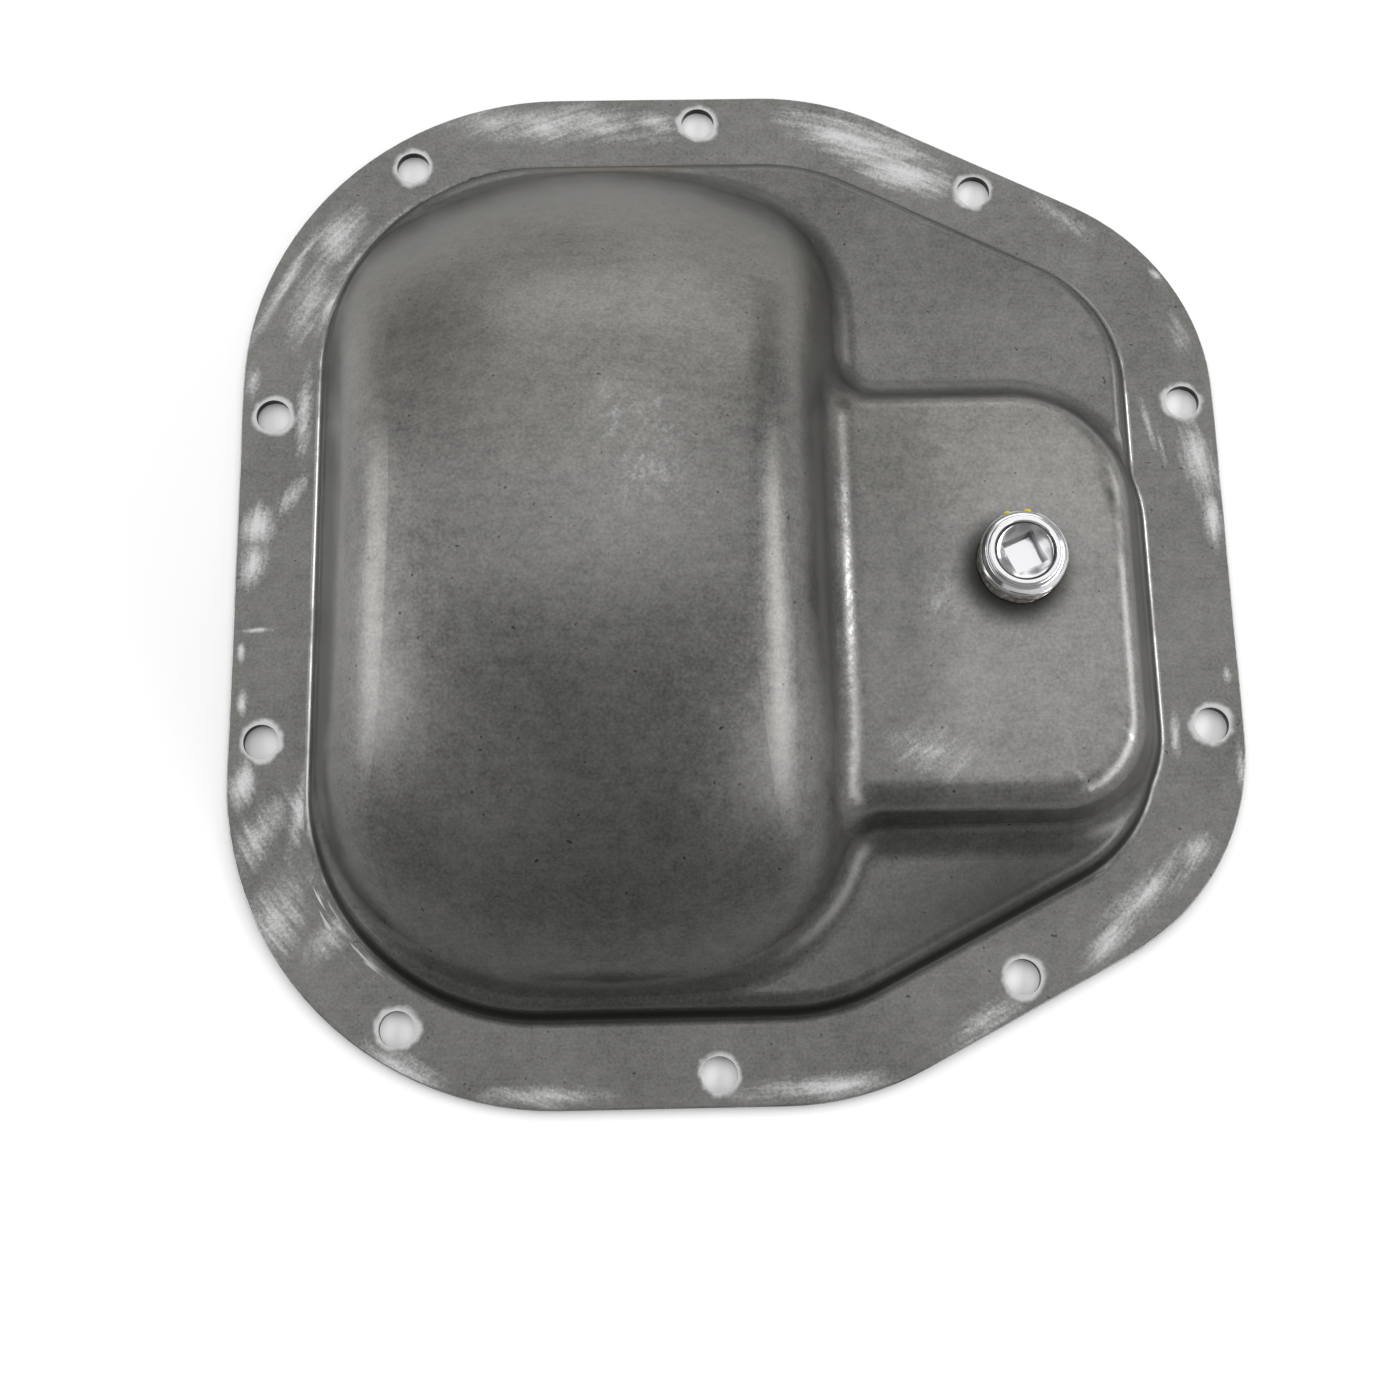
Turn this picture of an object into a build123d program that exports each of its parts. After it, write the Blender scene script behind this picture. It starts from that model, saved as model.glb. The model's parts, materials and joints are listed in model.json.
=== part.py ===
from build123d import *
from math import cos, radians, sqrt, tan
import os

# A pressed steel cover for the back of a drive axle, with its fill plug.
# The cover lies on its gasket face, dome up: X runs across the axle towards the
# pad with the plug, Y along the ring gear's rim, and Z out of the dome.
# The origin is under the middle of the flange, at gasket level. All sizes are in mm.
# Heights named "rise" are measured from the top face of the flange.

# The sheet that the whole cover is pressed from
SHEET = 2.7

# Flange outline, upper half; the lower half is its mirror image
FLANGE_WIDTH = 290.0
FLANGE_LENGTH = 306.0
HALF_WIDTH = FLANGE_WIDTH / 2
HALF_LENGTH = FLANGE_LENGTH / 2
SLANT_START_X = 0.217 * HALF_WIDTH    # where the top edge would meet the slanted edge
SLANT_END_Y = 0.621 * HALF_LENGTH     # where the slanted edge would meet the right edge
LEFT_CORNER_RADIUS = 0.324 * FLANGE_WIDTH
TOP_CORNER_RADIUS = 0.293 * FLANGE_WIDTH
RIGHT_CORNER_RADIUS = 0.241 * FLANGE_WIDTH
EDGE_BREAK = 0.4                      # rounding along the upper cut edge

# Ten bolt holes: four at the sides on a rectangle, six in three mirrored pairs.
# A pair is given by its X, as a share of the half width, and its distance from the edge.
HOLE_DIAMETER = 10.0
SIDE_HOLE_INSET = 9.3
SIDE_HOLE_Y = 0.323 * HALF_LENGTH
PAIR_HOLES = [(-0.659, 9.8), (-0.052, 8.6), (0.531, 8.9)]

# Low step that stiffens the flange and carries the dome and the pad
STEP_RISE = 8.0
STEP_DRAFT = 18.0
FLANGE_LEFT_LAND = 23.7               # flat width left beside the step, on each kind of edge
FLANGE_RIGHT_LAND = 27.0
FLANGE_TOP_LAND = 24.2
FLANGE_SLANT_LAND = 24.5
STEP_SIDE_TIGHTENING = 28.0           # how much tighter its side corners are than the flange's
STEP_TOP_TIGHTENING = 27.0
STEP_LEFT_RADIUS = LEFT_CORNER_RADIUS - STEP_SIDE_TIGHTENING
STEP_TOP_RADIUS = TOP_CORNER_RADIUS - STEP_TOP_TIGHTENING
STEP_RIGHT_RADIUS = RIGHT_CORNER_RADIUS - STEP_SIDE_TIGHTENING
STEP_EDGE_RADIUS = 4.5
FOOT_RADIUS = 3.0                     # bend from the flange up into the step
FOOT_INSIDE_RADIUS = 4.0              # the same bend, on the gasket side

# Flat pad for the fill plug, beside the dome.
# Its walls and the dome's sides are placed where they would meet a level face.
PAD_RISE = 26.0
PAD_DRAFT = 22.0
PAD_WIDTH = 88.6
PAD_RIGHT_LAND = 24.4                 # flange's outline to the pad's right wall
PAD_RIGHT_X = HALF_WIDTH - PAD_RIGHT_LAND
PAD_TOP_Y = 0.345 * HALF_LENGTH
PAD_BOTTOM_Y = -0.555 * HALF_LENGTH
PAD_TOP_CORNER_RADIUS = 41.0
PAD_BOTTOM_CORNER_RADIUS = 34.0
PAD_EDGE_RADIUS = 9.0

# Dome over the ring gear. Its outline is the one at the top of the step,
# and each land is measured from the flange's outline.
DOME_RISE = 75.0
DOME_LEFT_LAND = 26.8
DOME_TOP_LAND = 29.0
DOME_BOTTOM_LAND = 32.0
DOME_LEFT_X = DOME_LEFT_LAND - HALF_WIDTH
DOME_RIGHT_X = PAD_RIGHT_X - PAD_WIDTH
DOME_TOP_Y = HALF_LENGTH - DOME_TOP_LAND
DOME_BOTTOM_Y = DOME_BOTTOM_LAND - HALF_LENGTH
DOME_LEFT_RADIUS = 62.0
DOME_RIGHT_RADIUS = 50.0
DOME_DRAFT = 15.0
DOME_SHOULDER_RADIUS = 28.0
DOME_CROWN_X = 0.46 * DOME_LEFT_X + 0.54 * DOME_RIGHT_X
DOME_CROWN_RADIUS = 140.0

# Hollow bends: the one between dome and pad, and the one where both meet the step,
# outside and inside the sheet
VALLEY_RADIUS = 14.0
CREASE_RADIUS = 10.0
CREASE_INSIDE_RADIUS = 4.0

# Fill plug, a tapered pipe plug with a square socket
PLUG_INSET = 41.6                     # from the pad's right wall
PLUG_X = PAD_RIGHT_X - PLUG_INSET
PLUG_Y = (PAD_TOP_Y + PAD_BOTTOM_Y) / 2 + 8.5
PLUG_DIAMETER = 25.0                  # across the thread, at the plug's outer end
PLUG_LENGTH = 24.0
PLUG_STANDS_PROUD = 11.0
PLUG_TAPER = 1.79                     # degrees on each side
PLUG_RIM_DIAMETER = PLUG_DIAMETER - 4.3   # outer end, inside the bevel that leads the thread in
PLUG_BEVEL = 3.0
PLUG_END_BEVEL = 1.2
DISH_DIAMETER = PLUG_RIM_DIAMETER - 3.7
DISH_WALL_DEPTH = 1.3                 # steep part of the dish, inside the rim
DISH_DEPTH = 4.2                      # where the dish's cone would meet the plug's axis
RIM_ROUND = 0.7
SOCKET_ACROSS = 0.384 * PLUG_DIAMETER
SOCKET_DEPTH = 8.0                    # below the rim
SOCKET_TURN = 24.0
THREAD_CLEARANCE = 0.1

# Threaded boss welded inside the pad, which takes the plug
BOSS_WALL = 6.5
BOSS_LENGTH = 12.0
BOSS_WELD = 3.0                       # weld around the boss, against the sheet

# How far the pressed blocks run on below the gasket face before they are trimmed
RUN_OUT = 12.0


def flange_corners(left, right, top, slant):
    """Corner points of the flange outline with each kind of edge moved in."""
    fall = (HALF_LENGTH - SLANT_END_Y) / (HALF_WIDTH - SLANT_START_X)
    slant_drop = slant * sqrt(1 + fall**2)
    left_x = -HALF_WIDTH + left
    right_x = HALF_WIDTH - right
    top_y = HALF_LENGTH - top
    slant_x = SLANT_START_X + (HALF_LENGTH - slant_drop - top_y) / fall
    slant_y = HALF_LENGTH - slant_drop - (right_x - SLANT_START_X) * fall
    upper = [(left_x, top_y), (slant_x, top_y), (right_x, slant_y)]
    lower = [(x, -y) for x, y in reversed(upper)]
    return upper + lower


def rounded_face(corners, radii):
    """A flat face with a radius of its own at each corner."""
    return make_face(FilletPolyline(*corners, radius=radii, close=True))


def mirrored(radii):
    """Radii of the upper corners, followed by the same ones below."""
    return radii + radii[::-1]


def flange_face():
    """The flange's whole outline."""
    corners = flange_corners(0, 0, 0, 0)
    radii = mirrored([LEFT_CORNER_RADIUS, TOP_CORNER_RADIUS, RIGHT_CORNER_RADIUS])
    return rounded_face(corners, radii)


def pressed_block(face, draft, rise, depth):
    """A tapered block that meets the flange's top on the face's outline.

    Depth moves its whole skin inwards, which gives the inside of the sheet.
    """
    angle = radians(draft)
    start = -RUN_OUT
    spread = (SHEET - start) * tan(angle) - depth / cos(angle)
    base = Plane.XY.offset(start) * offset(face, amount=spread)
    return extrude(base, amount=SHEET + rise - depth - start, taper=draft)


def top_edges(block):
    """The edges around the top face of a block."""
    return block.faces().sort_by(Axis.Z)[-1].edges()


def step_block(depth):
    """The low step around the whole cover."""
    corners = flange_corners(FLANGE_LEFT_LAND, FLANGE_RIGHT_LAND, FLANGE_TOP_LAND, FLANGE_SLANT_LAND)
    radii = mirrored([STEP_LEFT_RADIUS, STEP_TOP_RADIUS, STEP_RIGHT_RADIUS])
    block = pressed_block(rounded_face(corners, radii), STEP_DRAFT, STEP_RISE, depth)
    return fillet(top_edges(block), STEP_EDGE_RADIUS - depth)


def pad_block(depth):
    """The raised pad, run on to the left until it is inside the dome."""
    corners = [
        (DOME_CROWN_X, PAD_TOP_Y),
        (PAD_RIGHT_X, PAD_TOP_Y),
        (PAD_RIGHT_X, PAD_BOTTOM_Y),
        (DOME_CROWN_X, PAD_BOTTOM_Y),
    ]
    radii = [1.0, PAD_TOP_CORNER_RADIUS, PAD_BOTTOM_CORNER_RADIUS, 1.0]
    block = pressed_block(rounded_face(corners, radii), PAD_DRAFT, PAD_RISE, depth)
    return fillet(top_edges(block), PAD_EDGE_RADIUS - depth)


def dome_crown(depth):
    """A barrel about an axis along X, whose top is the dome's crown."""
    height = DOME_RISE - STEP_RISE
    radius = (height**2 + DOME_TOP_Y**2) / (2 * height)
    circle = Pos(DOME_CROWN_X, radius - DOME_CROWN_RADIUS) * Circle(DOME_CROWN_RADIUS - depth)
    upper = Pos(DOME_CROWN_X, 0) * Rectangle(
        4 * DOME_CROWN_RADIUS, 2 * radius,
        align=(Align.CENTER, Align.MIN),
    )
    barrel = revolve(Plane.XZ * (circle & upper), Axis.X)
    return Pos(0, 0, SHEET + DOME_RISE - radius) * barrel


def dome_block(depth):
    """The dome: tapered walls under a crown, with a round shoulder between them."""
    corners = [
        (DOME_LEFT_X, DOME_TOP_Y),
        (DOME_RIGHT_X, DOME_TOP_Y),
        (DOME_RIGHT_X, DOME_BOTTOM_Y),
        (DOME_LEFT_X, DOME_BOTTOM_Y),
    ]
    radii = [DOME_LEFT_RADIUS, DOME_RIGHT_RADIUS, DOME_RIGHT_RADIUS, DOME_LEFT_RADIUS]
    at_flange = offset(rounded_face(corners, radii), amount=STEP_RISE * tan(radians(DOME_DRAFT)))
    walls = pressed_block(at_flange, DOME_DRAFT, DOME_RISE + DOME_SHOULDER_RADIUS, depth)
    crown = dome_crown(depth)
    dome = walls & crown
    return dome.fillet(DOME_SHOULDER_RADIUS - depth, new_edges(walls, crown, combined=dome))


def pressed_form(depth, crease_radius):
    """Step, pad and dome in one, with the hollow bends between them."""
    pad = pad_block(depth)
    dome = dome_block(depth)
    bulge = pad + dome
    bulge = bulge.fillet(VALLEY_RADIUS + depth, new_edges(pad, dome, combined=bulge))
    step = step_block(depth)
    form = step + bulge
    return form.fillet(crease_radius, new_edges(step, bulge, combined=form))


def flange_plate():
    """The flat flange, before it is opened and drilled."""
    plate = extrude(flange_face(), amount=SHEET)
    return fillet(top_edges(plate), EDGE_BREAK)


def bolt_places():
    """The centres of the ten bolt holes."""
    side_x = HALF_WIDTH - SIDE_HOLE_INSET
    upper = [(-side_x, SIDE_HOLE_Y), (side_x, SIDE_HOLE_Y)]
    for share, inset in PAIR_HOLES:
        x = share * HALF_WIDTH
        column = Pos(x, 0) * Rectangle(0.01, FLANGE_LENGTH)
        line = offset(flange_face(), amount=-inset) & column
        upper.append((x, line.bounding_box().max.Y))
    return upper + [(x, -y) for x, y in upper]


def foot_edges(cover, level):
    """The edges where the pressed form leaves the flange's face at this level."""
    flat = cover.faces().filter_by(Plane.XY)
    face = flat.filter_by_position(Axis.Z, level - 0.01, level + 0.01).sort_by(SortBy.AREA)[-1]
    return face.inner_wires()[0].edges()


def plug_body(grow, length):
    """The plug's tapered outside, from its outer end downwards."""
    top = SHEET + PAD_RISE + PLUG_STANDS_PROUD
    radius = PLUG_DIAMETER / 2 + grow
    lower_radius = radius - length * tan(radians(PLUG_TAPER))
    side = Polyline((0, -length), (lower_radius, -length), (radius, 0), (0, 0), close=True)
    cone = revolve(Plane.XZ * make_face(side), Axis.Z)
    return Pos(PLUG_X, PLUG_Y, top) * cone


def make_cover():
    """The whole pressing: flange, step, pad and dome, drilled for bolts and plug."""
    above = Box(
        FLANGE_WIDTH, FLANGE_LENGTH, SHEET + 2 * DOME_RISE,
        align=(Align.CENTER, Align.CENTER, Align.MIN),
    )
    cover = flange_plate() + (pressed_form(0, CREASE_RADIUS) & above)
    cover = cover.fillet(FOOT_RADIUS, foot_edges(cover, SHEET))
    cover -= pressed_form(SHEET, CREASE_INSIDE_RADIUS)
    cover = cover.fillet(FOOT_INSIDE_RADIUS, foot_edges(cover, 0))
    drill = Cylinder(HOLE_DIAMETER / 2, 3 * SHEET)
    for x, y in bolt_places():
        cover -= Pos(x, y, SHEET / 2) * drill
    return cover - plug_body(THREAD_CLEARANCE, PLUG_LENGTH)


def make_boss():
    """A ring with a tapered bore, welded to the underside of the pad."""
    pad_underside = PAD_RISE
    radius = PLUG_DIAMETER / 2 + BOSS_WALL
    side = make_face(Polyline(
        (0, 0),
        (radius + BOSS_WELD, 0),
        (radius, -BOSS_WELD),
        (radius, -BOSS_LENGTH),
        (0, -BOSS_LENGTH),
        close=True,
    ))
    ring = Pos(PLUG_X, PLUG_Y, pad_underside) * revolve(Plane.XZ * side, Axis.Z)
    return ring - plug_body(THREAD_CLEARANCE, 2 * PLUG_LENGTH)


def make_plug():
    """Tapered plug with a bevelled, dished outer end and a square socket."""
    slope = tan(radians(PLUG_TAPER))
    radius = PLUG_DIAMETER / 2
    end_radius = radius - PLUG_LENGTH * slope
    profile = make_face(Polyline(
        (0, -DISH_DEPTH),
        (DISH_DIAMETER / 2 - DISH_WALL_DEPTH / 2, -DISH_WALL_DEPTH),
        (DISH_DIAMETER / 2, 0),
        (PLUG_RIM_DIAMETER / 2, 0),
        (radius - PLUG_BEVEL * slope, -PLUG_BEVEL),
        (end_radius + PLUG_END_BEVEL * slope, PLUG_END_BEVEL - PLUG_LENGTH),
        (end_radius - PLUG_END_BEVEL, -PLUG_LENGTH),
        (0, -PLUG_LENGTH),
        close=True,
    ))
    rim = profile.vertices().sort_by(Axis.Y)[-2:]
    profile = fillet(rim, RIM_ROUND)
    socket = Rot(0, 0, SOCKET_TURN) * Box(
        SOCKET_ACROSS, SOCKET_ACROSS, SOCKET_DEPTH,
        align=(Align.CENTER, Align.CENTER, Align.MAX),
    )
    plug = revolve(Plane.XZ * profile, Axis.Z) - socket
    return Pos(PLUG_X, PLUG_Y, SHEET + PAD_RISE + PLUG_STANDS_PROUD) * plug


def main():
    os.makedirs("parts", exist_ok=True)
    pieces = {
        "cover": make_cover(),
        "fill_boss": make_boss(),
        "fill_plug": make_plug(),
    }
    for name, piece in pieces.items():
        export_step(piece, f"parts/{name}.step")


main()
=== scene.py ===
import json
from math import cos, pi, radians, sin, tan

import bmesh
import bpy
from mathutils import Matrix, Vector

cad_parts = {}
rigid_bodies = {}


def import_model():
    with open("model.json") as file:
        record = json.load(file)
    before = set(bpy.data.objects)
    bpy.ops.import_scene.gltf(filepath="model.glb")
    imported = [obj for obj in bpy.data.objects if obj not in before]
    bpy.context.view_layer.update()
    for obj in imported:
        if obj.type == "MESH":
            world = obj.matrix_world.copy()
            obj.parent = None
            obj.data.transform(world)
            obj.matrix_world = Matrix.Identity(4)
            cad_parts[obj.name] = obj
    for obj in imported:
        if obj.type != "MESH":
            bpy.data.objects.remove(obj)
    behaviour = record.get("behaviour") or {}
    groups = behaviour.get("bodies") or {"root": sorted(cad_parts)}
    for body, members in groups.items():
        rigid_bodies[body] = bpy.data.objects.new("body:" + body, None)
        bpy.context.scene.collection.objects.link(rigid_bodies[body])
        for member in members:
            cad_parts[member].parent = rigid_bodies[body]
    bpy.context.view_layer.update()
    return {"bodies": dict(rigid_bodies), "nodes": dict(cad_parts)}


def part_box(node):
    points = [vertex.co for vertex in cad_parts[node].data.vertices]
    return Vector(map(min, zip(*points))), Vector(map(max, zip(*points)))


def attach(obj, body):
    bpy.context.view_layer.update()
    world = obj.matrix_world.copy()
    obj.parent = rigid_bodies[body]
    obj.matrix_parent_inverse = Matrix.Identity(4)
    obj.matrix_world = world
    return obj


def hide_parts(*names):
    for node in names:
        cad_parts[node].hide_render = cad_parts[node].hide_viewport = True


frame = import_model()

bl_info = {
    "name": "Axle Cover Dresser",
    "version": (1, 0, 0),
    "blender": (4, 5, 0),
    "location": "View3D > Sidebar > Axle Cover",
    "description": "Dresses a pressed steel axle cover: sheet steel finish, fill plug, weld and studio",
    "category": "Object",
}

MM = 0.001
ROOT = next(iter(frame["bodies"]))
PLUG_LOW, PLUG_HIGH = (Vector(corner_shade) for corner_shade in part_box("fill_plug"))
PLUG_AXIS = (PLUG_LOW + PLUG_HIGH) / 2
# Radius of the thread's crest at the plug's outer end
PLUG_CREST = 12.4 * MM
BOSS_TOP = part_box("fill_boss")[1][2]
WELD_RADIUS = 20.4 * MM
# Heights above the gasket face
FLANGE_TOP = 2.7 * MM
STEP_TOP = FLANGE_TOP + 8 * MM
PAD_TOP = FLANGE_TOP + 26 * MM
# The bolt holes of the upper half, X and Y in mm; the lower half is its mirror image
HOLES = [(-135.7, 49.4), (135.7, 49.4), (-95.6, 130.5), (-7.5, 144.4), (77, 119.8)]

# Spots on the sheet are seen from above, in mm: X, Y, turn in degrees, half length,
# half width, strength. First, where the flange is rubbed bright:
RUBBED_SPOTS = [
    (-50, 145, -3, 40, 7, 0.7), (-22, 145, -8, 9, 4, 0.8), (-54, 143.5, 0, 12, 5, 0.85),
    (42, 137, -20, 26, 8, 0.85), (35, 139.5, -12, 12, 5, 1.0), (56, 126, -22, 16, 6, 1.0),
    (105, 109, -42, 12, 5, 0.55), (131, 91, -50, 3, 1.2, 0.9), (136.5, 72, -80, 9, 3, 0.45),
    (139, 31, -82, 14, 5, 0.9), (141.5, 13, -88, 9, 3, 1.0), (137, 44, -70, 8, 3, 0.6),
    (125, 42, -78, 9, 1.2, 0.8), (128, 36, -80, 7, 0.8, 0.6),
    (-118.5, 108, 60, 12, 7, 0.75), (-126, 86, 75, 16, 6, 0.7), (-133, 93, 62, 26, 2, 0.75),
    (-90, 118, 32, 18, 3, 0.7), (-110, 101, 48, 14, 3, 0.75), (-120, 84, 68, 14, 2.5, 0.75),
    (-142, 60, 88, 7, 2.5, 0.6), (-126.5, 50, 88, 20, 2.5, 0.7), (-130, 24, 62, 9, 3, 0.75),
    (-138.5, 15, 80, 7, 5, 1.0), (-140, 3, 80, 8, 4, 1.0), (-137.7, -16.5, 2, 5, 0.8, 0.9),
    (-142.3, -23, 90, 3, 1.2, 0.9), (-141.5, -38, 90, 4, 1.5, 0.9),
    (-140.5, -62, 80, 8, 4, 1.0), (-135, -76, 60, 14, 6, 0.7), (-124.5, -72, 82, 15, 3, 0.7),
    (-130, -100, 62, 22, 9, 0.6), (-113, -103, 50, 12, 5, 0.6), (-95, -141, -28, 15, 5, 0.8),
    (-54, -149, -2, 18, 3, 0.8), (20, -148, 4, 25, 3.5, 0.85), (66, -131, 32, 14, 4, 0.7),
    (114, -97, 40, 22, 5, 0.7), (102, -110, 44, 13, 3.5, 0.8), (128, -86, 44, 8, 4, 0.8),
    (125, -53, 88, 8, 1.5, 0.7), (141.5, -35, 88, 3, 1.2, 0.8), (143, -62, 88, 8, 1.5, 0.6),
]
RUBBED_SPREAD = 1.35
# The same for wear on the pad, and for painted light on the dome and a painted highlight along the valley
# between them
WORN_AND_HIGHLIGHT_SPOTS = [
    (52, -61, -16, 19, 11, 0.6), (47, -58, -10, 9, 7, 0.5), (106, -57, -50, 5, 1.2, 0.5),
    (93, -70, -48, 7, 1.5, 0.5), (56, -20, 80, 20, 10, 0.25), (80, -30, 0, 18, 10, 0.2),
    (-27, 2, 0, 9, 14, 0.3), (-26, 12, 100, 34, 20, 0.3), (29.5, -17, 89, 64, 4, 0.55),
]
# Painted shade at the lower right of the step, dark scuffs right of the plug, rust along the upper rim
CORNER_SHADE_SPOTS = [(72, -98, 28, 62, 22, 0.7), (95, -92, 40, 30, 16, 0.3)]
SCUFF_SPOTS = [(106, 12, -75, 14, 3, 1.0), (108, -2, -80, 8, 2.5, 0.8)]
RUST_SPOTS = [(-30, 125.5, 0, 26, 2.4, 1.0)]
# Painted shadow round the plug's foot
PLUG_SHADOW_SPOTS = [(PLUG_AXIS.x / MM - 1.5, PLUG_AXIS.y / MM - 2, 0, 19, 19, 1.0)]
# A spot's half height, so large that the level it carries doesn't change its shape
SPOT_HEIGHT = 1000

# Colours that are not settings
RUST = (0.3, 0.23, 0.12, 1)
PAINTED_DISH_REFLECTION = (0.2, 0.2, 0.205, 1)
THREAD_STAIN = (0.12, 0.085, 0.05, 1)
TURNED_STEEL = (0.32, 0.32, 0.31)
HEAT_TINT = (0.17, 0.14, 0.15, 1)
WELD_OXIDE = (0.13, 0.12, 0.12, 1)
WELD_SCRAPED = (0.34, 0.33, 0.32, 1)
SEALANT_DARK = (0.5, 0.36, 0.03, 1)
SEALANT_LIGHT = (0.75, 0.6, 0.08, 1)

# Scratches as long thin arcs beside the lower left corner of the step
ARC_CENTRE = (-51 * MM, -59 * MM)
ARC_RADIUS = 76 * MM
ARC_HALF_WIDTH = 4.5 * MM
ARC_ANGLES = (radians(-160), radians(-128))

# Flecks of sealant round the plug: turn in degrees, then length, height and rise above the pad in mm
FLECKS = [(109, 0.9, 0.5, 7.6), (97, 0.8, 0.4, 0.1), (82, 1.1, 0.5, 7.6), (70, 0.9, 0.4, 0.1)]

# Lamps: place and target, width and height, in metres, and watts
LAMPS = {
    "lamp_top": ((0.0, 0.6, 1.5), (0, 0, 0), 2.4, 1.8, 16),
    "lamp_left": ((-1.2, 0.0, 0.5), (0, 0, 0.03), 1.3, 0.5, 9),
    "lamp_right": ((1.15, -0.22, 0.62), (0, 0, 0.03), 1.8, 0.3, 13),
    "lamp_back": ((0.1, 1.5, 0.6), (0, 0, 0.03), 1.6, 0.6, 6),
}
WORLD_LEVEL = 0.4


# Settings that a user would change

class CoverSettings(bpy.types.PropertyGroup):
    steel: bpy.props.FloatVectorProperty(
        name="Sheet steel", description="Colour of the bare sheet",
        subtype="COLOR", size=4, min=0, max=1, default=(0.145, 0.143, 0.137, 1),
    )
    tarnish: bpy.props.FloatVectorProperty(
        name="Tarnish", description="Colour of the slightly olive steel high up on the dome",
        subtype="COLOR", size=4, min=0, max=1, default=(0.145, 0.142, 0.126, 1),
    )
    # This colour paints both rubbed steel and the painted highlights along the valley, the step's foot and
    # the outline
    rubbed_and_highlight: bpy.props.FloatVectorProperty(
        name="Rubbed steel", description="Colour where the sheet is rubbed bright",
        subtype="COLOR", size=4, min=0, max=1, default=(0.42, 0.42, 0.42, 1),
    )
    # Besides dark cut edges and scuffs, this colour paints shade in the bends and a shadow round the plug
    grime_and_shade: bpy.props.FloatVectorProperty(
        name="Dark film", description="Colour of the dark film in bends and on cut edges",
        subtype="COLOR", size=4, min=0, max=1, default=(0.035, 0.035, 0.032, 1),
    )
    roughness: bpy.props.FloatProperty(
        name="Roughness", description="Roughness of the bare sheet", min=0, max=1, default=0.37,
    )


class PlugSettings(bpy.types.PropertyGroup):
    plating: bpy.props.FloatVectorProperty(
        name="Plating", description="Colour of the plug's bright plating",
        subtype="COLOR", size=4, min=0, max=1, default=(0.58, 0.58, 0.59, 1),
    )
    worn: bpy.props.FloatVectorProperty(
        name="Worn thread", description="Colour of the thread where its plating is worn and stained",
        subtype="COLOR", size=4, min=0, max=1, default=(0.17, 0.15, 0.12, 1),
    )
    pitch: bpy.props.FloatProperty(
        name="Pitch", description="Pitch of the plug's pipe thread",
        subtype="DISTANCE", min=0.5 * MM, default=1.81 * MM,
    )
    depth: bpy.props.FloatProperty(
        name="Socket depth", description="Depth of the socket below the rim",
        subtype="DISTANCE", min=0, default=8 * MM,
    )
    rim: bpy.props.FloatProperty(
        name="Rim", description="Diameter of the plug's rim, outside", subtype="DISTANCE", default=20.7 * MM,
    )
    dish: bpy.props.FloatProperty(
        name="Dish", description="Diameter of the dish inside the rim", subtype="DISTANCE", default=17 * MM,
    )
    socket: bpy.props.FloatProperty(
        name="Socket", description="Width of the square socket", subtype="DISTANCE", default=9.6 * MM,
    )
    socket_turn: bpy.props.FloatProperty(
        name="Socket turn", description="How far the plug was screwed round", subtype="ANGLE",
        default=radians(24),
    )


class StageSettings(bpy.types.PropertyGroup):
    floor: bpy.props.FloatVectorProperty(
        name="Floor", description="Colour of the floor",
        subtype="COLOR", size=4, min=0, max=1, default=(0.93, 0.93, 0.93, 1),
    )
    camera_place: bpy.props.FloatVectorProperty(
        name="Camera place", description="Where the camera stands",
        subtype="TRANSLATION", size=3, default=(-0.01972, -0.17266, 0.57378),
    )
    camera_turn: bpy.props.FloatVectorProperty(
        name="Camera turn", description="How the camera is turned from looking straight down",
        subtype="EULER", size=3, default=(0.2781, -0.010975, -0.021098),
    )
    lens: bpy.props.FloatProperty(
        name="Lens", description="Focal length in millimetres on a 36 mm sensor", min=1, default=52.58,
    )
    shift: bpy.props.FloatProperty(
        name="Shift", description="How far the picture lies above the lens axis, as a share of it",
        default=-0.0714,
    )


# Small helpers for node trees

def new_group(name, inputs, outputs):
    """A shader node group with these sockets, as (name, type, default), and its end nodes."""
    group = bpy.data.node_groups.new(name, "ShaderNodeTree")
    for label, kind, default in inputs:
        socket = group.interface.new_socket(name=label, in_out="INPUT", socket_type=kind)
        socket.default_value = default
    for label, kind in outputs:
        group.interface.new_socket(name=label, in_out="OUTPUT", socket_type=kind)
    start = group.nodes.new("NodeGroupInput")
    end = group.nodes.new("NodeGroupOutput")
    return group, start, end


def put(tree, socket, value):
    """Links a socket to another one, or sets its value."""
    if isinstance(value, bpy.types.NodeSocket):
        tree.links.new(value, socket)
    else:
        socket.default_value = value


def node(tree, kind, values=None, **settings):
    """A new node with its settings, and its inputs set or linked by name or number."""
    made = tree.nodes.new(kind)
    for key, value in settings.items():
        setattr(made, key, value)
    for key, value in (values or {}).items():
        put(tree, made.inputs[key], value)
    return made


def maths(tree, operation, first, second=0.0, clamp=False):
    """The result of one arithmetic step."""
    values = {0: first, 1: second}
    return node(tree, "ShaderNodeMath", values, operation=operation, use_clamp=clamp).outputs[0]


def chain(tree, operation, values):
    """The result of one arithmetic step, taken from value to value."""
    result = values[0]
    for value in values[1:]:
        result = maths(tree, operation, result, value)
    return result


def times(tree, *factors):
    """The product of several values."""
    return chain(tree, "MULTIPLY", factors)


def plus(tree, *terms):
    """The sum of several values."""
    return chain(tree, "ADD", terms)


def minus(tree, first, second):
    """The difference of two values."""
    return maths(tree, "SUBTRACT", first, second)


def largest(tree, *values):
    """The largest of several values."""
    return chain(tree, "MAXIMUM", values)


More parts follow.
